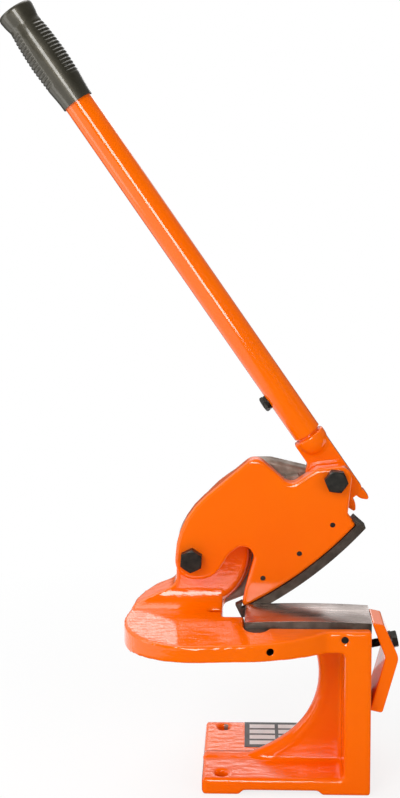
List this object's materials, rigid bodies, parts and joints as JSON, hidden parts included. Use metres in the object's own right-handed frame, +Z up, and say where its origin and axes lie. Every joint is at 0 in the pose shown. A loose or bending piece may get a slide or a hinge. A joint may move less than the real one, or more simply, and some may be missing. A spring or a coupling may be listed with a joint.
{
  "type": "lever metal shear",
  "caption": "Bench metal shear: a curved upper blade on a pivoting arm closes past a fixed lower blade beside a round cast table, driven by a long handle through a gear sector.",
  "frame": {"origin": "midway between the two bench bolt holes, on the underside of the base", "axes": "+Z up, +X along the blades from the throat to their free end, -Y towards the operator"},
  "size_m": [0.4568, 0.183, 0.8954],
  "materials": {
    "orange_paint": "gloss enamel over cast iron and steel",
    "machined_iron": "bare machined",
    "ground_blade": "ground on top, dark on the sides",
    "hardened_blade": "dark hardened steel",
    "black_oxide": "black oxide",
    "zinc_steel": "zinc plated",
    "bronze": "plain bearing bronze",
    "black_grip": "ribbed, satin gloss"
  },
  "bodies": {
    "frame": {"frame_casting": "orange_paint", "gear_sector": "machined_iron", "sector_screws": "black_oxide", "lower_blade": "ground_blade", "lower_blade_screws": "black_oxide", "blade_clamp": "orange_paint", "clamp_bolt": "black_oxide", "clamp_washer": "zinc_steel", "main_pivot_bolt": "black_oxide", "main_pivot_washer": "zinc_steel", "main_pivot_nut": "black_oxide"},
    "arm": {"upper_arm": "orange_paint", "main_pivot_bush": "bronze", "upper_blade": "hardened_blade", "upper_blade_screws": "black_oxide", "lever_pivot_bolt": "black_oxide", "lever_pivot_washer": "zinc_steel", "lever_pivot_nut": "black_oxide"},
    "lever": {"lever_gear": "orange_paint", "lever_bush": "bronze", "handle_tube": "orange_paint", "handle_set_bolt": "black_oxide", "handle_lock_nut": "black_oxide", "handle_grip": "black_grip"}
  },
  "joints": [
    {"name": "arm_pivot", "type": "hinge", "parent": "frame", "child": "arm", "pos_m": [-0.036, 0, 0.252], "axis": [0, 1, 0], "range_deg": [0, 26]},
    {"name": "lever_pivot", "type": "hinge", "parent": "arm", "child": "lever", "pos_m": [0.13111, 0, 0.34654], "axis": [0, 1, 0], "range_deg": [0, 92.9]}
  ],
  "couplings": [
    {"joint": "lever_pivot", "follows": "arm_pivot", "ratio": 3.5714}
  ]
}
